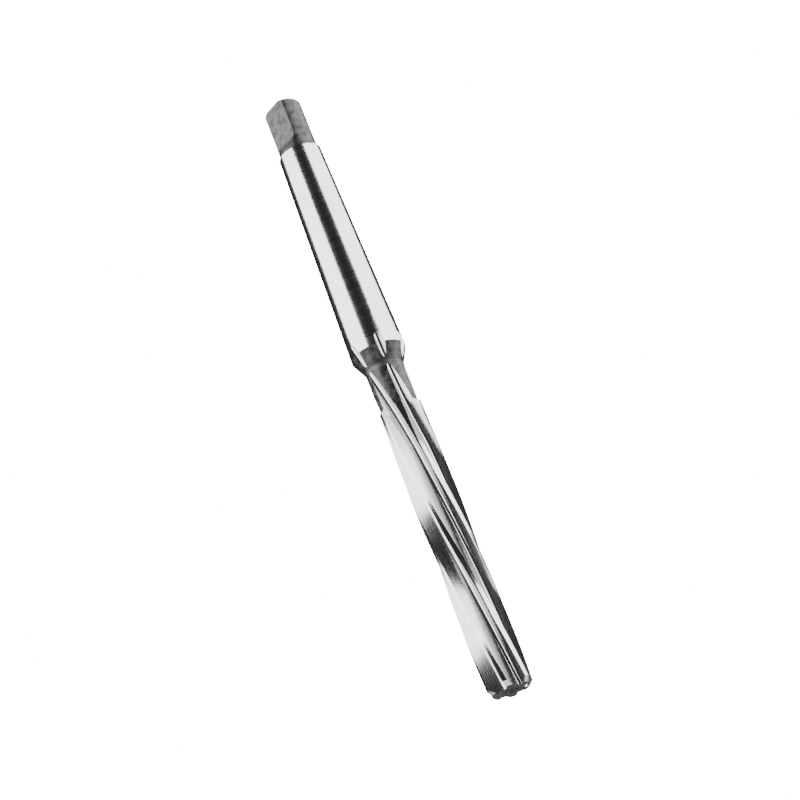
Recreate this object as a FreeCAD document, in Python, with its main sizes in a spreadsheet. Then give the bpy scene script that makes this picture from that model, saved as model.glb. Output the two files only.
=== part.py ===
import FreeCAD, Part
import os
import Sketcher

# Machine reamer, one piece of high-speed steel: Morse taper 1 shank with tang, cone and
# neck, and a long cutting part with six left-hand spiral flutes that cut right-handed.
# +Z runs along the axis towards the tang.  z = 0 is the gauge plane of the taper.
# All lengths in millimetres, all angles in degrees.

SIZES = [
    # shank, Morse taper 1
    ("gauge_diameter", 12.065),
    ("taper_per_mm", 0.04988),
    ("gauge_to_shoulder", 3.5),
    ("gauge_to_tang_end", 62.0),
    ("tang_zone", 12.9),
    ("tang_diameter", 8.6),
    ("tang_thickness", 5.2),
    ("tang_flat_length", 8.5),
    ("tang_runout_radius", 5.0),
    ("tang_corner_radius", 1.2),
    ("small_end_chamfer", 0.25),
    # cone and neck below the shank
    ("cone_length", 3.7),
    ("neck_diameter", 8.7),
    ("neck_length", 9.8),
    # cutting part
    ("flute_length", 67.0),
    ("cutting_diameter", 10.0),
    ("step_chamfer", 0.65),
    ("bevel_lead", 0.95),
    ("flute_count", 6),
    ("helix_lead", 202.0),
    ("edge_phase", 4.0),
    ("land_angle", 12.0),
    ("flute_angle", 78.0),
    ("gullet_radius", 0.8),
    ("margin_width", 0.25),
    ("relief_angle", 9.0),
    ("relief_start", 1.9),
    # run-out of the flutes, left by a grinding wheel with a round tip
    ("wheel_radius", 110.0),
    ("wheel_swivel", 8.4),
    ("full_depth_inset", 10.4),
    ("runout_lift", 4.4),
    # centre holes in both ends
    ("centre_diameter", 2.9),
    ("centre_pilot_diameter", 1.25),
    ("centre_angle", 60.0),
    ("centre_depth", 3.4),
]

# Reach of the cutting profiles past the metal, so that no skin is left.
OVERRUN = 1.0
FLANK = 5.2

# Derived sizes, written once as expressions.
CUT_R = "(Sizes.cutting_diameter / 2)"
BLANK_LOW = "(Sizes.gauge_to_shoulder + Sizes.cone_length + Sizes.neck_length + Sizes.flute_length)"
SHOULDER_D = "(Sizes.gauge_diameter + Sizes.taper_per_mm * Sizes.gauge_to_shoulder)"
SHANK_TOP = "(Sizes.gauge_to_tang_end - Sizes.tang_zone)"
SMALL_END_D = "(Sizes.gauge_diameter - Sizes.taper_per_mm * " + SHANK_TOP + ")"
HEEL_ANGLE = "(360 / Sizes.flute_count - Sizes.land_angle)"
FULL_DEPTH = "(Sizes.flute_length - Sizes.full_depth_inset)"

doc = FreeCAD.newDocument("machine_reamer")


def make_sheet():
    sheet = doc.addObject("Spreadsheet::Sheet", "Sizes")
    for row, (alias, value) in enumerate(SIZES, start=1):
        sheet.set("A%d" % row, alias)
        sheet.set("B%d" % row, str(value))
        sheet.setAlias("B%d" % row, alias)
    doc.recompute()
    return sheet


def origin_feature(body, role):
    for item in body.Origin.OriginFeatures:
        if item.Role == role:
            return item
    raise ValueError(role)


def new_sketch(body, name, role):
    sketch = body.newObject("Sketcher::SketchObject", name)
    sketch.AttachmentSupport = [(origin_feature(body, role), "")]
    sketch.MapMode = "FlatFace"
    return sketch


def fix_point(sketch, curve, end, x, y):
    """Ties one end of a curve to the sketch origin by two expressions."""
    drawn = sketch.getPoint(curve, end)
    for kind, value, expression in (("DistanceX", drawn.x, x), ("DistanceY", drawn.y, y)):
        index = sketch.addConstraint(Sketcher.Constraint(kind, -1, 1, curve, end, value))
        sketch.setExpression("Constraints[%d]" % index, expression)


def outline(sketch, points):
    """Closed outline of straight lines through points given as pairs of expressions."""
    count = len(points)
    first = sketch.GeometryCount
    for i in range(count):
        start = FreeCAD.Vector(10 + i, i * i, 0)
        stop = FreeCAD.Vector(11 + i, (i + 1) * (i + 1), 0)
        sketch.addGeometry(Part.LineSegment(start, stop), False)
    for i in range(count):
        following = first + (i + 1) % count
        sketch.addConstraint(Sketcher.Constraint("Coincident", first + i, 2, following, 1))
    for i, (x, y) in enumerate(points):
        fix_point(sketch, first + i, 1, x, y)
    return first


def revolved(body, kind, sketch, name):
    feature = body.newObject("PartDesign::" + kind, name)
    feature.Profile = sketch
    feature.ReferenceAxis = (sketch, ["V_Axis"])
    feature.Angle = 360
    doc.recompute()
    return feature


def make_blank(body):
    """Turned blank: bevel lead, cutting diameter, neck, cone, taper, tang cylinder."""
    sketch = new_sketch(body, "blank_profile", "XZ_Plane")
    sketch.AttachmentOffset = FreeCAD.Placement(FreeCAD.Vector(0, -1, 0), FreeCAD.Rotation())
    sketch.setExpression("AttachmentOffset.Base.y", "-" + BLANK_LOW)
    step = "Sizes.flute_length"
    neck_top = "(Sizes.flute_length + Sizes.neck_length)"
    shoulder = "(" + neck_top + " + Sizes.cone_length)"
    small_end = "(" + BLANK_LOW + " + " + SHANK_TOP + ")"
    tang_end = "(" + BLANK_LOW + " + Sizes.gauge_to_tang_end)"
    chamfer = "Sizes.small_end_chamfer"
    outline(sketch, [
        ("0", "0"),
        (CUT_R + " - Sizes.bevel_lead", "0"),
        (CUT_R, "Sizes.bevel_lead"),
        (CUT_R, step + " - Sizes.step_chamfer"),
        ("Sizes.neck_diameter / 2", step),
        ("Sizes.neck_diameter / 2", neck_top),
        (SHOULDER_D + " / 2", shoulder),
        (SMALL_END_D + " / 2", small_end + " - " + chamfer),
        (SMALL_END_D + " / 2 - " + chamfer, small_end),
        ("Sizes.tang_diameter / 2", small_end),
        ("Sizes.tang_diameter / 2", tang_end),
        ("0", tang_end),
    ])
    return revolved(body, "Revolution", sketch, "blank")


def round_tang_end(body, blank):
    """Rounds the end edge of the tang."""
    top = blank.Shape.BoundBox.ZMax
    names = []
    for number, edge in enumerate(blank.Shape.Edges, start=1):
        if edge.BoundBox.ZMin > top - 0.01:
            names.append("Edge%d" % number)
    fillet = body.newObject("PartDesign::Fillet", "tang_corner")
    fillet.Base = (blank, names)
    fillet.Radius = 1.0
    fillet.setExpression("Radius", "Sizes.tang_corner_radius")
    doc.recompute()
    return fillet


def cut_tang_flats(body):
    """Two parallel flats; each runs out in an arc just above the end of the taper."""
    half = "Sizes.tang_thickness / 2"
    radius = "Sizes.tang_runout_radius"
    flat_low = "(Sizes.gauge_to_tang_end - Sizes.tang_flat_length)"
    high = "Sizes.gauge_to_tang_end + %g" % OVERRUN
    sketch = new_sketch(body, "tang_flats", "YZ_Plane")
    for side in (1, -1):
        sign = "" if side > 0 else "-"
        first = sketch.GeometryCount
        arc = Part.Circle(FreeCAD.Vector(side * 7.6, 53.5, 0), FreeCAD.Vector(0, 0, 1), 5.0)
        turns = (3.14159265, 4.71238898) if side > 0 else (4.71238898, 6.28318531)
        sketch.addGeometry(Part.ArcOfCircle(arc, turns[0], turns[1]), False)
        near = 1 if side > 0 else 2
        far = 3 - near
        corners = [(7.6, 48.5), (9, 48.5), (9, 63), (2.6, 63), (2.6, 53.5)]
        for (x1, y1), (x2, y2) in zip(corners, corners[1:]):
            start = FreeCAD.Vector(side * x1, y1, 0)
            stop = FreeCAD.Vector(side * x2, y2, 0)
            sketch.addGeometry(Part.LineSegment(start, stop), False)
        chain = [(first, far), (first + 1, 1), (first + 1, 2), (first + 2, 1), (first + 2, 2),
                 (first + 3, 1), (first + 3, 2), (first + 4, 1), (first + 4, 2), (first, near)]
        for (a, end_a), (b, end_b) in zip(chain[0::2], chain[1::2]):
            sketch.addConstraint(Sketcher.Constraint("Coincident", a, end_a, b, end_b))
        wide = "Sizes.tang_diameter / 2 + Sizes.tang_runout_radius + %g" % OVERRUN
        fix_point(sketch, first, near, sign + "(" + half + ")", flat_low)
        fix_point(sketch, first, 3, sign + "(" + half + " + " + radius + ")", flat_low)
        fix_point(sketch, first + 2, 1, sign + "(" + wide + ")", flat_low + " - " + radius)
        fix_point(sketch, first + 3, 1, sign + "(" + wide + ")", high)
        fix_point(sketch, first + 4, 1, sign + "(" + half + ")", high)
        sketch.addConstraint(Sketcher.Constraint("Vertical", first, 3, first, far))
    pocket = body.newObject("PartDesign::Pocket", "tang_sides")
    pocket.Profile = sketch
    pocket.Type = "Length"
    pocket.Midplane = True
    pocket.setExpression("Length", "2 * Sizes.tang_diameter")
    doc.recompute()
    return pocket


def cut_centre(body, name, face, inward):
    """Centre hole: 60 degree countersink with a pilot hole below it."""
    sketch = new_sketch(body, name + "_profile", "XZ_Plane")
    rim = "Sizes.centre_diameter / 2"
    pilot = "Sizes.centre_pilot_diameter / 2"
    cone = "((" + rim + " - " + pilot + ") / tan(Sizes.centre_angle / 2))"
    outline(sketch, [
        ("0", face),
        (rim, face),
        (pilot, face + inward + cone),
        (pilot, face + inward + "Sizes.centre_depth"),
        ("0", face + inward + "(Sizes.centre_depth + " + pilot + " * tan(30))"),
    ])
    return revolved(body, "Groove", sketch, name)


def place_turned(sketch, height, turn):
    """Puts a section at a height above the cutting end, turned with the helix."""
    angle = "Sizes.edge_phase - (%s) * 360 / Sizes.helix_lead + %s" % (height, turn)
    sketch.AttachmentOffset = FreeCAD.Placement(
        FreeCAD.Vector(0, 0, 1), FreeCAD.Rotation(FreeCAD.Vector(0, 0, 1), 10))
    sketch.setExpression("AttachmentOffset.Base.z", "-%s + %s" % (BLANK_LOW, height))
    sketch.setExpression("AttachmentOffset.Rotation.Angle", angle)


def place_on_wheel(sketch, run):
    """Puts a section of the run-out beyond the full depth.

    The wheel stays in its own plane: the section no longer turns, but rises along the
    middle of the flute with the wheel's rim and moves sideways with the wheel's swivel.
    """
    place_turned(sketch, FULL_DEPTH, "0")
    sketch.setExpression("AttachmentOffset.Base.z", "-%s + %s + %s" % (BLANK_LOW, FULL_DEPTH, run))
    lift = "(Sizes.wheel_radius - sqrt(Sizes.wheel_radius^2 - (%s)^2))" % run
    aside = "(%s * tan(Sizes.wheel_swivel))" % run
    middle = "(Sizes.edge_phase - %s * 360 / Sizes.helix_lead - Sizes.flute_angle / 2)" % FULL_DEPTH
    across = "%s * cos(%s) + %s * sin(%s)" % (lift, middle, aside, middle)
    along = "%s * sin(%s) - %s * cos(%s)" % (lift, middle, aside, middle)
    sketch.setExpression("AttachmentOffset.Base.x", across)
    sketch.setExpression("AttachmentOffset.Base.y", along)


def flute_section(body, name):
    """Radial cutting face, round gullet and flat back of one flute, square to the axis."""
    sketch = new_sketch(body, name, "XY_Plane")
    vee = "Sizes.flute_angle"
    root = "(%s * (cos(%s) - sin(%s) / tan(%s)))" % (CUT_R, HEEL_ANGLE, HEEL_ANGLE, vee)
    tangent = "(Sizes.gullet_radius / tan(Sizes.flute_angle / 2))"
    arc = Part.Circle(FreeCAD.Vector(3.26, -0.7, 0), FreeCAD.Vector(0, 0, 1), 0.7)
    sketch.addGeometry(Part.ArcOfCircle(arc, 1.5708, 3.4034), False)
    outer_rake = FreeCAD.Vector(2.35 + FLANK, 0, 0)
    outer_back = FreeCAD.Vector(3.7, -5.0, 0)
    sketch.addGeometry(Part.LineSegment(outer_rake, FreeCAD.Vector(3.26, 0, 0)), False)
    sketch.addGeometry(Part.LineSegment(FreeCAD.Vector(2.59, -0.88, 0), outer_back), False)
    sketch.addGeometry(Part.LineSegment(outer_back, outer_rake), False)
    for a, end_a, b, end_b in ((1, 2, 0, 1), (0, 2, 2, 1), (2, 2, 3, 1), (3, 2, 1, 1)):
        sketch.addConstraint(Sketcher.Constraint("Coincident", a, end_a, b, end_b))
    fix_point(sketch, 0, 1, root + " + " + tangent, "0")
    fix_point(sketch, 0, 2, "%s + %s * cos(%s)" % (root, tangent, vee), "-%s * sin(%s)" % (tangent, vee))
    fix_point(sketch, 1, 1, "%s + %g" % (root, FLANK), "0")
    back = "%g * %s(%s)"
    fix_point(sketch, 2, 2, root + " + " + back % (FLANK * 1.6, "cos", vee),
              "-" + back % (FLANK * 1.6, "sin", vee))
    index = sketch.addConstraint(Sketcher.Constraint("Radius", 0, 0.7))
    sketch.setExpression("Constraints[%d]" % index, "Sizes.gullet_radius")
    return sketch


def relief_section(body, name, height):
    """Thin wedge that leaves a narrow round margin behind the cutting edge."""
    sketch = new_sketch(body, name, "XY_Plane")
    place_turned(sketch, height, "Sizes.margin_width / %s * 180 / pi" % CUT_R)
    lead_in = "Sizes.margin_width"
    reach = "(%s * Sizes.land_angle * pi / 180 + 0.3)" % CUT_R
    outline(sketch, [
        ("%s + %s * sin(Sizes.relief_angle)" % (CUT_R, lead_in), "-%s * cos(Sizes.relief_angle)" % lead_in),
        ("%s - %s * sin(Sizes.relief_angle)" % (CUT_R, reach), "%s * cos(Sizes.relief_angle)" % reach),
        (CUT_R + " + 0.7", reach),
    ])
    return sketch


def lofted(body, name, sections):
    loft = body.newObject("PartDesign::AdditiveLoft", name)
    loft.Profile = sections[0]
    loft.Sections = sections[1:]
    loft.Ruled = False
    doc.recompute()
    return loft


def make_flute_cutter():
    """What one flute removes: the even helix at full depth, then the wheel's run-out."""
    body = doc.addObject("PartDesign::Body", "flute_cutter")
    steps = 5
    sections = []
    for step in range(steps, -1, -1):
        section = flute_section(body, "flute_section_%d" % step)
        height = "((%s + %g) * %d / %d - %g)" % (FULL_DEPTH, OVERRUN, step, steps, OVERRUN)
        place_turned(section, height, "0")
        sections.append(section)
    lofted(body, "flute", sections)
    travel = "sqrt(Sizes.wheel_radius^2 - (Sizes.wheel_radius - Sizes.runout_lift)^2)"
    sections = []
    for step in range(steps, -1, -1):
        section = flute_section(body, "runout_section_%d" % step)
        place_on_wheel(section, "(%s * %d / %d)" % (travel, step, steps))
        sections.append(section)
    lofted(body, "runout", sections)
    return body


def make_relief_cutter():
    """What the relief behind one cutting edge removes."""
    body = doc.addObject("PartDesign::Body", "relief_cutter")
    sections = []
    steps = 5
    travel = "(Sizes.flute_length - Sizes.relief_start + %g)" % OVERRUN
    for step in range(steps, -1, -1):
        height = "(%s * %d / %d - %g)" % (travel, step, steps, OVERRUN)
        sections.append(relief_section(body, "relief_section_%d" % step, height))
    lofted(body, "relief", sections)
    return body


def cut_all_round(shape, cutter, count):
    """Cuts the same tool out once for each flute, evenly round the axis, in one operation."""
    copies = []
    for number in range(count):
        copy = cutter.copy()
        copy.rotate(FreeCAD.Vector(0, 0, 0), FreeCAD.Vector(0, 0, 1), 360.0 * number / count)
        copies.append(copy)
    return shape.cut(copies)


def check_document():
    for item in doc.Objects:
        for state in item.State:
            if state in ("Invalid", "Error"):
                raise RuntimeError("%s is %s" % (item.Name, state))
        if hasattr(item, "Shape") and not item.isDerivedFrom("App::OriginFeature"):
            if item.Shape.isNull() or not item.Shape.isValid():
                raise RuntimeError("%s has no valid shape" % item.Name)


def make_blank_body():
    body = doc.addObject("PartDesign::Body", "ground_blank")
    blank = make_blank(body)
    round_tang_end(body, blank)
    cut_tang_flats(body)
    cut_centre(body, "centre_cutting_end", "-" + BLANK_LOW, " + ")
    cut_centre(body, "centre_tang_end", "Sizes.gauge_to_tang_end", " - ")
    return body


def main():
    sheet = make_sheet()
    blank = make_blank_body()
    flute = make_flute_cutter()
    relief = make_relief_cutter()
    count = int(sheet.flute_count)
    fluted = cut_all_round(blank.Shape, flute.Shape, count)
    reamer = doc.addObject("Part::Feature", "reamer")
    reamer.Label = "reamer"
    reamer.Shape = cut_all_round(fluted, relief.Shape, count)
    doc.recompute()
    check_document()
    if len(reamer.Shape.Solids) != 1:
        raise RuntimeError("the reamer is not one solid")
    os.makedirs("parts", exist_ok=True)
    reamer.Shape.Solids[0].exportStep("parts/reamer.step")


main()
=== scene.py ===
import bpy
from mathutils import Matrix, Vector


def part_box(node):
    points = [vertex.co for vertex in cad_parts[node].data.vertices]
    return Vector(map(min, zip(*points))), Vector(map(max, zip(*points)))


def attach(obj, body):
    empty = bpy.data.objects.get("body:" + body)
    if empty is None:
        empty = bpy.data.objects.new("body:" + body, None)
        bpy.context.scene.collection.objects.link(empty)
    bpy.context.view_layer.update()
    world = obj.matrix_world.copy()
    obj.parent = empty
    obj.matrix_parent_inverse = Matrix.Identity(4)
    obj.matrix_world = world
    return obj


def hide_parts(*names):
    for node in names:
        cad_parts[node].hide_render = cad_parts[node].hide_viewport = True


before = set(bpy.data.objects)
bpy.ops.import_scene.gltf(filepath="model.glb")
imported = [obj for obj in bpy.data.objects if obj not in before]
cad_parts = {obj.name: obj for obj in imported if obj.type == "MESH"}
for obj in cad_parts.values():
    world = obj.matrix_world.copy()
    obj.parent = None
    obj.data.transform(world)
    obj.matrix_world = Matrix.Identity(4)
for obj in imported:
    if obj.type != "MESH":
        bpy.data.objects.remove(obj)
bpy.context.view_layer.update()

import math

import bmesh
import bpy
from mathutils import Matrix, Vector

MM = 0.001
LOW, HIGH = (corner[2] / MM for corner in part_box("reamer"))
COUNT = 6

# The tool's own sizes, in millimetres; heights are measured from the gauge plane.
SHOULDER_Z = -3.5
CONE_Z = SHOULDER_Z - 3.7
NECK_Z = CONE_Z - 9.8
CUT_R = 5.0
NECK_R = 4.35
GAUGE_R = 12.065 / 2
TAPER = 0.04988 / 2
STEP_CHAMFER = 0.65
BEVEL = 0.95
SHANK_TOP = HIGH - 12.9
END_CHAMFER = 0.25
TANG_R = 4.3
TANG_HALF = 2.6
TANG_FLAT_Z = HIGH - 8.5
TANG_RUNOUT_R = 5.0
TANG_CORNER = 1.2
LEAD = 202.0
EDGE_PHASE = math.radians(4)
PITCH = 2 * math.pi / COUNT
LAND = math.radians(12)
FLUTE_ANGLE = math.radians(78)
GULLET_R = 0.8
MARGIN = 0.25
RELIEF = math.radians(9)
RELIEF_TOP = NECK_Z - 1.9
WHEEL_R = 110.0
SWIVEL = math.radians(8.4)
FULL_TOP = NECK_Z - 10.4
CENTRE_R = 1.45
PILOT_R = 0.625
CENTRE_DEPTH = 3.4

# Height at which the flats of the tang come out through its round side.
TANG_TIP = TANG_FLAT_Z - math.sqrt(TANG_RUNOUT_R ** 2 - (TANG_HALF + TANG_RUNOUT_R - TANG_R) ** 2)
# Height on the shank above which the rings turn gradually towards the tang's.
BLEND_Z = 12.0
# How far along the section the edges of a flute are looked for.
REACH = 8.0

ROOT = CUT_R * (math.cos(PITCH - LAND) - math.sin(PITCH - LAND) / math.tan(FLUTE_ANGLE))
TANGENT = GULLET_R / math.tan(FLUTE_ANGLE / 2)
ARC = GULLET_R * (math.pi - FLUTE_ANGLE)

# How many strips each part of the section has, and the whole ring.
FLUTE_STRIPS = 24
MARGIN_STRIPS = 2
RELIEF_STRIPS = 4
STRIPS = FLUTE_STRIPS + MARGIN_STRIPS + RELIEF_STRIPS
RING = STRIPS * COUNT
HOLE_RING = 60

GROUND, DARK, FLUTED, LANDS = range(4)


def blank_radius(z):
    """Radius of the turned blank at a height."""
    if z < LOW + BEVEL:
        return CUT_R - BEVEL + (z - LOW)
    if z <= NECK_Z - STEP_CHAMFER:
        return CUT_R
    if z < NECK_Z:
        return CUT_R + (NECK_R - CUT_R) * (z - NECK_Z + STEP_CHAMFER) / STEP_CHAMFER
    if z <= CONE_Z:
        return NECK_R
    shoulder = GAUGE_R - TAPER * SHOULDER_Z
    if z <= SHOULDER_Z:
        return NECK_R + (shoulder - NECK_R) * (z - CONE_Z) / (SHOULDER_Z - CONE_Z)
    small_end = GAUGE_R - TAPER * SHANK_TOP
    chamfer_low = SHANK_TOP - END_CHAMFER
    if z <= chamfer_low:
        share = (z - SHOULDER_Z) / (chamfer_low - SHOULDER_Z)
        return shoulder + (small_end - shoulder) * share
    if z < SHANK_TOP:
        return small_end - (z - chamfer_low)
    if z <= HIGH - TANG_CORNER:
        return TANG_R
    rise = min(z - HIGH + TANG_CORNER, TANG_CORNER)
    return TANG_R - TANG_CORNER + math.sqrt(TANG_CORNER ** 2 - rise ** 2)


def wheel_place(z):
    """Turn of the cutting face at a height, and the section's shift in its own frame."""
    turn = EDGE_PHASE - 2 * math.pi * (min(z, FULL_TOP) - LOW) / LEAD
    if z <= FULL_TOP:
        return turn, (0.0, 0.0)
    run = z - FULL_TOP
    lift = WHEEL_R - math.sqrt(WHEEL_R ** 2 - run ** 2)
    aside = run * math.tan(SWIVEL)
    half = FLUTE_ANGLE / 2
    return turn, (lift * math.cos(half) - aside * math.sin(half),
                  -lift * math.sin(half) - aside * math.cos(half))


def flute_point(q, shift):
    """Point at distance q along the flute's section: flat back, round gullet, cutting face."""
    if q < 0:
        x = ROOT + (TANGENT - q) * math.cos(FLUTE_ANGLE)
        y = -(TANGENT - q) * math.sin(FLUTE_ANGLE)
    elif q > ARC:
        x = ROOT + TANGENT + q - ARC
        y = 0.0
    else:
        angle = math.pi / 2 + (ARC - q) / GULLET_R
        x = ROOT + TANGENT + GULLET_R * math.cos(angle)
        y = GULLET_R * (math.sin(angle) - 1)
    return x + shift[0], y + shift[1]


def relief_radius(angle):
    """Radius of the relief line at an angle behind its own cutting edge."""
    return CUT_R * math.cos(RELIEF) / math.cos(angle - MARGIN / CUT_R - RELIEF)


def inside(point, radius, relieved):
    """True where a point of the flute lies within the body at its height."""
    distance = math.hypot(*point)
    if distance >= radius:
        return False
    angle = math.atan2(point[1], point[0]) + PITCH
    if relieved and angle > MARGIN / CUT_R and point[1] < -1.0:
        return distance < relief_radius(angle)
    return True


def deepest(shift):
    """Distance along the section at which it comes nearest to the axis."""
    low, high = -4.0, ARC + 2.0
    for _ in range(60):
        third = (high - low) / 3
        if math.hypot(*flute_point(low + third, shift)) < math.hypot(*flute_point(high - third, shift)):
            high -= third
        else:
            low += third
    return (low + high) / 2


def crossing(start, stop, shift, radius, relieved):
    """Where the section leaves the body between a point inside and one outside."""
    for _ in range(50):
        middle = (start + stop) / 2
        if inside(flute_point(middle, shift), radius, relieved):
            start = middle
        else:
            stop = middle
    return (start + stop) / 2


def depth(z):
    """How far the flute cuts into the blank at a height; negative where it passes clear."""
    shift = wheel_place(z)[1]
    return blank_radius(z) - math.hypot(*flute_point(deepest(shift), shift))


def find_tips():
    """Heights at which the flute's run-out enters or leaves the surface."""
    tips = []
    z = FULL_TOP
    while z < 5:
        if (depth(z) > 0) != (depth(z + 0.1) > 0):
            low, high = z, z + 0.1
            for _ in range(40):
                middle = (low + high) / 2
                if (depth(middle) > 0) == (depth(low) > 0):
                    low = middle
                else:
                    high = middle
            tips.append(low)
        z += 0.1
    return tips


TIPS = find_tips()


def weighted(start, stop, strips):
    """Distances along the flute's section, closer together round the gullet."""
    def weight(q):
        return q + 2.0 * min(max(q, 0.0), ARC)

    low, high = weight(start), weight(stop)
    places = []
    for index in range(strips + 1):
        target = low + (high - low) * index / strips
        if target < 0:
            places.append(target)
        elif target > 3 * ARC:
            places.append(target - 2 * ARC)
        else:
            places.append(target / 3)
    return places


def sector(z):
    """One flute and the land before it, as (radius, angle, distance across) in its own frame."""
    turn, shift = wheel_place(z)
    radius = blank_radius(z)
    relieved = z <= RELIEF_TOP
    bottom = deepest(shift)
    if depth(z) > 1e-6:
        back = crossing(bottom, -REACH, shift, radius, relieved)
        front = crossing(bottom, ARC + REACH, shift, radius, False)
        flute = []
        for q in weighted(back, front, FLUTE_STRIPS):
            x, y = flute_point(q, shift)
            flute.append((math.hypot(x, y), math.atan2(y, x), q))
    else:
        x, y = flute_point(bottom, shift)
        middle = math.atan2(y, x)
        near = min(abs(z - tip) for tip in TIPS)
        share = PITCH * FLUTE_STRIPS / STRIPS / 2
        spread = min(0.5 * share, share * near / 8) if z < TIPS[-1] else share * min(1.0, near / 12)
        flute = []
        for index in range(FLUTE_STRIPS + 1):
            angle = middle + spread * (2 * index / FLUTE_STRIPS - 1)
            flute.append((radius, angle, bottom + radius * (angle - middle)))
    return turn, flute, land_points(flute, radius, relieved)


def land_points(flute, radius, relieved):
    """The land between the cutting edge of the flute before and the heel at this flute."""
    edge = flute[-1][1] - PITCH
    heel = flute[0][1]
    margin_end = edge + (heel - edge) * MARGIN_STRIPS / (MARGIN_STRIPS + RELIEF_STRIPS)
    if radius < CUT_R + 1e-9 and relieved:
        flat = CUT_R * math.cos(RELIEF)
        back = math.acos(min(1.0, flat / radius)) if radius > flat else 0.0
        margin_end = min(MARGIN / CUT_R + RELIEF - back - PITCH, heel - 0.1 * (heel - edge))
    elif is_cut_land(flute, radius):
        margin_end = min(edge + MARGIN / CUT_R, heel - 0.5 * (heel - edge))
    points = []
    for index in range(1, MARGIN_STRIPS + 1):
        points.append(edge + (margin_end - edge) * index / MARGIN_STRIPS)
    for index in range(1, RELIEF_STRIPS):
        points.append(margin_end + (heel - margin_end) * index / RELIEF_STRIPS)
    ring = []
    for angle in points:
        distance = radius
        if relieved and angle > margin_end - 1e-9:
            distance = min(radius, relief_radius(angle + PITCH))
        ring.append((distance, angle, CUT_R * (angle - edge)))
    return ring


def is_cut_land(flute, radius):
    """True on the cutting diameter, where the flutes beside the land are cut."""
    return min(point[0] for point in flute) < radius - 0.05 and radius > CUT_R - 1e-9


def heights():
    """Heights of the section rings, close together where the form changes."""
    exact = [LOW, LOW + BEVEL, RELIEF_TOP, RELIEF_TOP + 0.01, FULL_TOP, NECK_Z - STEP_CHAMFER,
             NECK_Z, CONE_Z, SHOULDER_Z, SHANK_TOP - END_CHAMFER, HIGH - TANG_CORNER,
             TANG_FLAT_Z, HIGH] + TIPS
    spans = [(LOW, LOW + BEVEL, 0.16), (LOW + BEVEL, FULL_TOP, 0.55), (FULL_TOP, TIPS[-1] + 1, 0.3),
             (TIPS[-1] + 1, BLEND_Z, 0.8), (BLEND_Z, SHANK_TOP - 0.5, 2.5),
             (SHANK_TOP - 0.5, SHANK_TOP, 0.25)]
    places = list(exact)
    for low, high, step in spans:
        count = max(1, round((high - low) / step))
        places += [low + (high - low) * index / count for index in range(count)]
    for tip in TIPS:
        places += [tip + offset for offset in (-0.3, -0.12, -0.04, 0.04, 0.12, 0.3)]
    places.sort()
    kept = [places[0]]
    for z in places[1:]:
        close = z - kept[-1] < 0.02
        if not close or z == RELIEF_TOP + 0.01:
            kept.append(z)
        elif z in exact:
            kept[-1] = z
    return [z for z in kept if z <= SHANK_TOP]


def fluted_ring(z):
    """The whole section at a height, as (radius, angle, across, sector) going round."""
    turn, flute, land = sector(z)
    ring = []
    for number in range(COUNT):
        base = turn + PITCH * number
        for distance, angle, across in land_after(flute, land):
            ring.append((distance, base + angle, across, number))
    return ring


def land_after(flute, land):
    """Flute from its heel side to the cutting edge, then the land behind that edge."""
    after = [(distance, angle + PITCH, across) for distance, angle, across in land]
    return flute + after


def tang_angles(half):
    """Angles of the ring on the tang when each flat spans half an angle to either side."""
    flat = RING // 4
    angles = []
    for quarter in range(4):
        centre = quarter * math.pi / 2
        width = half if quarter % 2 else math.pi / 2 - half
        for index in range(flat):
            angles.append(centre - width + 2 * width * index / flat)
    return angles


def tang_flat_at(z):
    """Distance of the tang's flats from the axis at a height."""
    if z >= TANG_FLAT_Z:
        return TANG_HALF
    drop = min(TANG_FLAT_Z - z, TANG_RUNOUT_R)
    return TANG_HALF + TANG_RUNOUT_R - math.sqrt(TANG_RUNOUT_R ** 2 - drop ** 2)


def tang_ring(z, radius):
    """Section of the tang: round sides and two flats."""
    flat = tang_flat_at(z)
    if flat < radius:
        half = math.acos(flat / radius)
    else:
        half = min(math.pi / 4, 0.35 * max(0.0, TANG_TIP - z) / TANG_R * 2)
    ring = []
    for angle in tang_angles(half):
        reach = min(radius, flat / max(abs(math.sin(angle)), 1e-6))
        ring.append((reach, angle, angle * TANG_R, 0))
    return ring


def blend_rings(low_ring, high_ring, share, radius):
    """A ring on a round surface whose points lie between those of two other rings."""
    ring = []
    for low, high in zip(low_ring, high_ring):
        ring.append((radius, low[1] + (high[1] - low[1]) * share, low[2], low[3]))
    return ring


def lined_up(ring, target):
    """The same ring started at the point nearest to the target's first, with rising angles."""
    full = 2 * math.pi
    best = min(range(RING), key=lambda i: abs((ring[i][1] - target[0][1] + math.pi) % full - math.pi))
    turned = ring[best:] + ring[:best]
    angle = target[0][1] + (turned[0][1] - target[0][1] + math.pi) % full - math.pi
    result = []
    for point in turned:
        angle += (point[1] - angle) % full if result else 0.0
        result.append((point[0], angle, point[2], point[3]))
    return result


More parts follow.
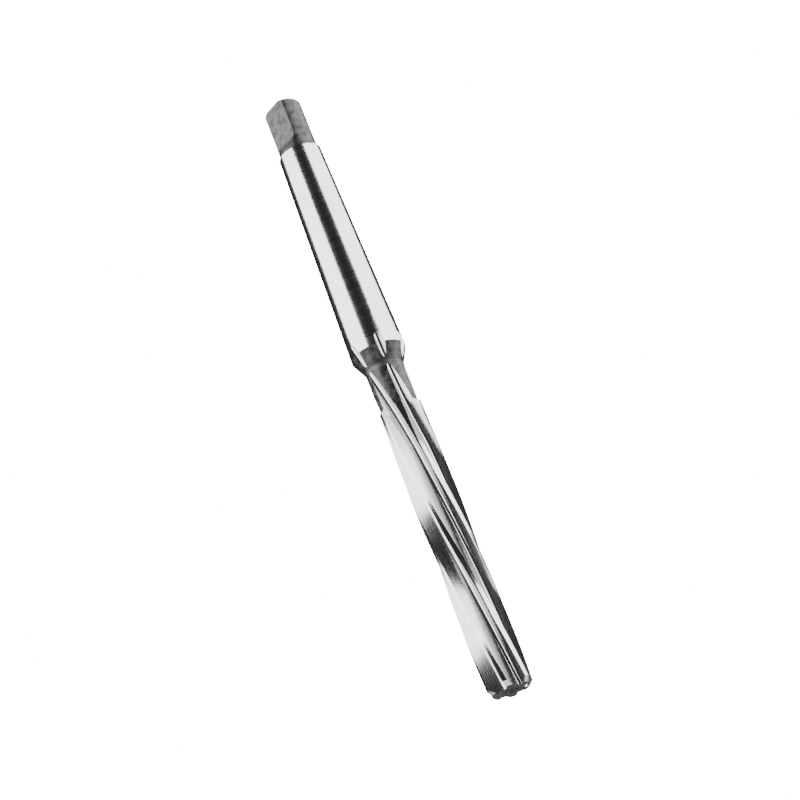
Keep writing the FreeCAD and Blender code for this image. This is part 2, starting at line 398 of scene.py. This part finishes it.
def all_rings():
    """(height, ring) from the cutting end to the end of the tang."""
    rings = []
    places = heights()
    for z in places:
        if z <= BLEND_Z:
            rings.append((z, fluted_ring(z)))
    last = rings[-1][1]
    top = lined_up(tang_ring(SHANK_TOP, TANG_R), last)
    for z in places:
        if z > BLEND_Z:
            share = (z - BLEND_Z) / (SHANK_TOP - BLEND_Z)
            rings.append((z, blend_rings(last, top, share, blank_radius(min(z, SHANK_TOP - 1e-6)))))
    rings.append((SHANK_TOP, top))
    tip = TANG_TIP
    levels = [tip - 0.3, tip - 0.1, tip, tip + 0.05, tip + 0.15, tip + 0.3]
    levels += [tip + 0.3 + (TANG_FLAT_Z - tip - 0.3) * i / 10 for i in range(1, 11)]
    levels += [TANG_FLAT_Z + (HIGH - TANG_CORNER - TANG_FLAT_Z) * i / 6 for i in range(1, 7)]
    levels += [HIGH - TANG_CORNER + TANG_CORNER * math.sin(math.pi / 2 * i / 12) for i in range(1, 13)]
    for z in levels:
        radius = blank_radius(z) if z > SHANK_TOP else TANG_R
        rings.append((z, lined_up(tang_ring(z, radius), top)))
    return rings


def zone(z, column):
    """Which finish a strip has at a height."""
    if z > SHANK_TOP - END_CHAMFER:
        return DARK
    in_flute = column < FLUTE_STRIPS
    if in_flute and depth(z) > 0:
        return FLUTED
    if z > SHOULDER_Z:
        return GROUND
    if z > NECK_Z:
        return DARK
    return LANDS


def build_reamer():
    """One closed mesh: section rings joined by strips, two end faces, two centre holes."""
    rings = all_rings()
    mesh = bpy.data.meshes.new("ground_reamer")
    bm = bmesh.new()
    grain = bm.loops.layers.float_vector.new("grain")
    rows = []
    for z, ring in rings:
        row = []
        for distance, angle, across, number in ring:
            place = Vector((distance * math.cos(angle), distance * math.sin(angle), z)) * MM
            row.append(bm.verts.new(place))
        rows.append(row)
    for level in range(len(rings) - 1):
        z_low, low = rings[level]
        z_high, high = rings[level + 1]
        for i in range(RING):
            j = (i + 1) % RING
            column = i % STRIPS
            face = bm.faces.new((rows[level][i], rows[level][j], rows[level + 1][j], rows[level + 1][i]))
            face.smooth = True
            face.material_index = zone((z_low + z_high) / 2, column)
            ends = (low[i][2], across_end(low, i, j), across_end(high, i, j), high[i][2])
            for loop, across, z in zip(face.loops, ends, (z_low, z_low, z_high, z_high)):
                loop[grain] = (across, z, float(low[i][3]) * 5.0)
    close_end(bm, rows[0], LOW, 1.0)
    close_end(bm, rows[-1], HIGH, -1.0)
    bmesh.ops.remove_doubles(bm, verts=bm.verts, dist=0.0004 * MM)
    bmesh.ops.dissolve_degenerate(bm, edges=bm.edges, dist=0.0004 * MM)
    bmesh.ops.recalc_face_normals(bm, faces=bm.faces)
    bm.to_mesh(mesh)
    bm.free()
    mesh.set_sharp_from_angle(angle=math.radians(22))
    piece = bpy.data.objects.new("ground_reamer", mesh)
    bpy.context.scene.collection.objects.link(piece)
    return piece


def across_end(ring, i, j):
    """Distance across at the far side of a strip, without the jump where a new part starts."""
    gap = ring[i][0] * abs((ring[j][1] - ring[i][1] + math.pi) % (2 * math.pi) - math.pi)
    step = ring[j][2] - ring[i][2]
    if abs(step) < 1.5 and j % STRIPS and i % STRIPS != FLUTE_STRIPS:
        return ring[j][2]
    return ring[i][2] + gap


def close_end(bm, rim, face_z, inward):
    """End face round a centre hole: countersink, pilot hole and its pointed bottom."""
    sink = (CENTRE_R - PILOT_R) / math.tan(math.radians(30))
    bottom = CENTRE_DEPTH + PILOT_R * math.tan(math.radians(30))
    profile = [(CENTRE_R, 0.0), (PILOT_R, sink), (PILOT_R, CENTRE_DEPTH), (0.0, bottom)]
    circles = []
    for radius, drop in profile:
        circle = []
        for index in range(HOLE_RING if radius else 1):
            angle = 2 * math.pi * index / HOLE_RING
            place = (radius * math.cos(angle), radius * math.sin(angle), face_z + inward * drop)
            circle.append(bm.verts.new(Vector(place) * MM))
        circles.append(circle)
    for upper, lower in zip(circles, circles[1:]):
        for i in range(HOLE_RING):
            j = (i + 1) % HOLE_RING
            corners = [upper[i], upper[j], lower[0]]
            if len(lower) > 1:
                corners = [upper[i], upper[j], lower[j], lower[i]]
            face = bm.faces.new(corners)
            face.smooth = True
            face.material_index = DARK
    edges = []
    for loop in (rim, circles[0]):
        for a, b in zip(loop, loop[1:] + loop[:1]):
            edges.append(bm.edges.get((a, b)) or bm.edges.new((a, b)))
    made = bmesh.ops.triangle_fill(bm, use_beauty=True, edges=edges, normal=(0, 0, -inward))
    for face in made["geom"]:
        if isinstance(face, bmesh.types.BMFace):
            face.material_index = DARK


AZIMUTH = math.radians(45.0)
TILT = math.radians(24.08)
LEAN = math.radians(21.56)
LENS_MM = 125.28
SENSOR_MM = 36.0
AIM = math.radians(0.06133)
DISTANCE = 594.8
ALONG = -10.62


def camera_frame():
    """Place and axes of the camera: below the tool's middle, looking up at it, leaning."""
    down_tool = Vector((0, 0, -1))
    facing = Vector((math.sin(AZIMUTH), -math.cos(AZIMUTH), 0))
    across = Vector((math.cos(AZIMUTH), math.sin(AZIMUTH), 0))
    along = math.cos(TILT) * down_tool - math.sin(TILT) * facing
    forward = -math.sin(TILT) * down_tool - math.cos(TILT) * facing
    place = Vector((0, 0, SHOULDER_Z)) - ALONG * along - DISTANCE * forward
    ahead = math.cos(AIM) * forward + math.sin(AIM) * across
    side = math.cos(AIM) * across - math.sin(AIM) * forward
    right = math.sin(LEAN) * along + math.cos(LEAN) * side
    up = -(math.cos(LEAN) * along - math.sin(LEAN) * side)
    return place * MM, right, up, -ahead


def make_camera():
    place, right, up, back = camera_frame()
    data = bpy.data.cameras.new("camera")
    data.sensor_width = SENSOR_MM
    data.lens = LENS_MM
    data.clip_start = 0.01
    data.clip_end = 20.0
    camera = bpy.data.objects.new("camera", data)
    bpy.context.scene.collection.objects.link(camera)
    camera.matrix_world = Matrix.Translation(place) @ Matrix((right, up, back)).transposed().to_4x4()
    bpy.context.scene.camera = camera


def make_world():
    """White to the camera, dim to everything that reflects it."""
    world = bpy.data.worlds.new("studio")
    world.use_nodes = True
    bpy.context.scene.world = world
    tree = world.node_tree
    seen = tree.nodes["Background"]
    seen.inputs["Color"].default_value = (1, 1, 1, 1)
    seen.inputs["Strength"].default_value = 18.0
    dim = tree.nodes.new("ShaderNodeBackground")
    dim.inputs["Color"].default_value = (0.9, 0.95, 1.0, 1)
    dim.inputs["Strength"].default_value = 0.03
    path = tree.nodes.new("ShaderNodeLightPath")
    mix = tree.nodes.new("ShaderNodeMixShader")
    tree.links.new(path.outputs["Is Camera Ray"], mix.inputs[0])
    tree.links.new(dim.outputs[0], mix.inputs[1])
    tree.links.new(seen.outputs[0], mix.inputs[2])
    tree.links.new(mix.outputs[0], tree.nodes["World Output"].inputs["Surface"])


def softbox(name, azimuth, elevation, width, height, power):
    """A rectangular lamp at arm's length, facing the middle of the tool."""
    middle = Vector((0, 0, (LOW + HIGH) / 2 * MM))
    turn = AZIMUTH + math.radians(azimuth)
    rise = math.radians(elevation)
    level = math.cos(rise)
    direction = Vector((math.sin(turn) * level, -math.cos(turn) * level, math.sin(rise)))
    data = bpy.data.lights.new(name, "AREA")
    data.shape = "RECTANGLE"
    data.size = width
    data.size_y = height
    data.energy = power
    lamp = bpy.data.objects.new(name, data)
    lamp.location = middle + direction * 0.6
    lamp.rotation_euler = (-direction).to_track_quat("-Z", "Y").to_euler()
    bpy.context.scene.collection.objects.link(lamp)


def new_material(name, metallic):
    material = bpy.data.materials.new(name)
    material.use_nodes = True
    shader = material.node_tree.nodes["Principled BSDF"]
    shader.inputs["Metallic"].default_value = metallic
    return material, material.node_tree, shader


def vector_noise(tree, source, scale, noise_scale, detail):
    """Noise stretched by a scale along each of three coordinates."""
    mapping = tree.nodes.new("ShaderNodeMapping")
    mapping.inputs["Scale"].default_value = scale
    tree.links.new(source, mapping.inputs["Vector"])
    noise = tree.nodes.new("ShaderNodeTexNoise")
    noise.inputs["Scale"].default_value = noise_scale
    noise.inputs["Detail"].default_value = detail
    tree.links.new(mapping.outputs["Vector"], noise.inputs["Vector"])
    return noise.outputs["Fac"]


def ramp(tree, source, stops):
    node = tree.nodes.new("ShaderNodeValToRGB")
    node.color_ramp.elements[0].position = stops[0][0]
    node.color_ramp.elements[0].color = stops[0][1]
    node.color_ramp.elements[1].position = stops[-1][0]
    node.color_ramp.elements[1].color = stops[-1][1]
    for position, colour in stops[1:-1]:
        node.color_ramp.elements.new(position).color = colour
    tree.links.new(source, node.inputs["Fac"])
    return node.outputs["Color"]


def spread(tree, source, low, high):
    node = tree.nodes.new("ShaderNodeMapRange")
    node.inputs["From Min"].default_value = 0.3
    node.inputs["From Max"].default_value = 0.7
    node.inputs["To Min"].default_value = low
    node.inputs["To Max"].default_value = high
    tree.links.new(source, node.inputs["Value"])
    return node.outputs["Result"]


def bump(tree, shader, source, strength, distance):
    node = tree.nodes.new("ShaderNodeBump")
    node.inputs["Strength"].default_value = strength
    node.inputs["Distance"].default_value = distance * MM
    tree.links.new(source, node.inputs["Height"])
    tree.links.new(node.outputs["Normal"], shader.inputs["Normal"])


def grey(value, warmth=0.0):
    return (value * (1 + warmth), value, value * (1 - warmth), 1)


def ground_material(name, source_kind, scale, colours, rough, strength, distance):
    """Steel with grinding lines, finely streaked across one coordinate."""
    material, tree, shader = new_material(name, 1.0)
    if source_kind == "grain":
        coordinate = tree.nodes.new("ShaderNodeAttribute")
        coordinate.attribute_name = "grain"
        source = coordinate.outputs["Vector"]
    else:
        coordinate = tree.nodes.new("ShaderNodeTexCoord")
        source = coordinate.outputs["Object"]
    lines = vector_noise(tree, source, scale, 1.0, 4.0)
    tree.links.new(ramp(tree, lines, colours), shader.inputs["Base Color"])
    tree.links.new(spread(tree, lines, *rough), shader.inputs["Roughness"])
    bump(tree, shader, lines, strength, distance)
    return material


def dark_material():
    """Blackened steel: mottled, slightly rough, with a fine scale on it."""
    material, tree, shader = new_material("blackened", 0.85)
    coordinate = tree.nodes.new("ShaderNodeTexCoord")
    source = coordinate.outputs["Object"]
    mottle = vector_noise(tree, source, (1, 1, 1), 700.0, 5.0)
    fine = vector_noise(tree, source, (1, 1, 1), 6000.0, 3.0)
    colours = ramp(tree, mottle, [(0.35, grey(0.03)), (0.65, grey(0.09, 0.02))])
    tree.links.new(colours, shader.inputs["Base Color"])
    tree.links.new(spread(tree, mottle, 0.34, 0.5), shader.inputs["Roughness"])
    bump(tree, shader, fine, 0.25, 0.02)
    return material


def finish_piece(piece):
    """Finishes in the order of the zone numbers."""
    shank = ground_material("ground_shank", "object", (60.0, 60.0, 9000.0),
                            [(0.3, grey(0.5)), (0.7, grey(0.68))], (0.12, 0.2), 0.2, 0.006)
    flutes = ground_material("ground_flutes", "grain", (14.0, 0.12, 1.0),
                             [(0.3, grey(0.42, 0.03)), (0.7, grey(0.62, 0.02))], (0.16, 0.28), 0.3, 0.012)
    lands = ground_material("ground_lands", "grain", (3.0, 9.0, 1.0),
                            [(0.3, grey(0.5, 0.02)), (0.7, grey(0.68, 0.01))], (0.12, 0.2), 0.2, 0.008)
    dark = dark_material()
    for material in (shank, dark, flutes, lands):
        piece.data.materials.append(material)


def make_floor():
    size = 3.0
    mesh = bpy.data.meshes.new("floor")
    corners = [(-size, -size, 0), (size, -size, 0), (size, size, 0), (-size, size, 0)]
    mesh.from_pydata(corners, [], [(0, 1, 2, 3)])
    floor = bpy.data.objects.new("floor", mesh)
    floor.location.z = (LOW - 330.0) * MM
    bpy.context.scene.collection.objects.link(floor)
    material, tree, shader = new_material("pale_floor", 0.0)
    shader.inputs["Base Color"].default_value = (0.8, 0.8, 0.8, 1)
    shader.inputs["Roughness"].default_value = 0.8
    mesh.materials.append(material)


make_camera()
make_world()
softbox("left_softbox", -68, 24, 0.8, 1.0, 14)
softbox("right_softbox", 82, 24, 0.9, 1.0, 15)
make_floor()
reamer = build_reamer()
finish_piece(reamer)
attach(reamer, "root")
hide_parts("reamer")
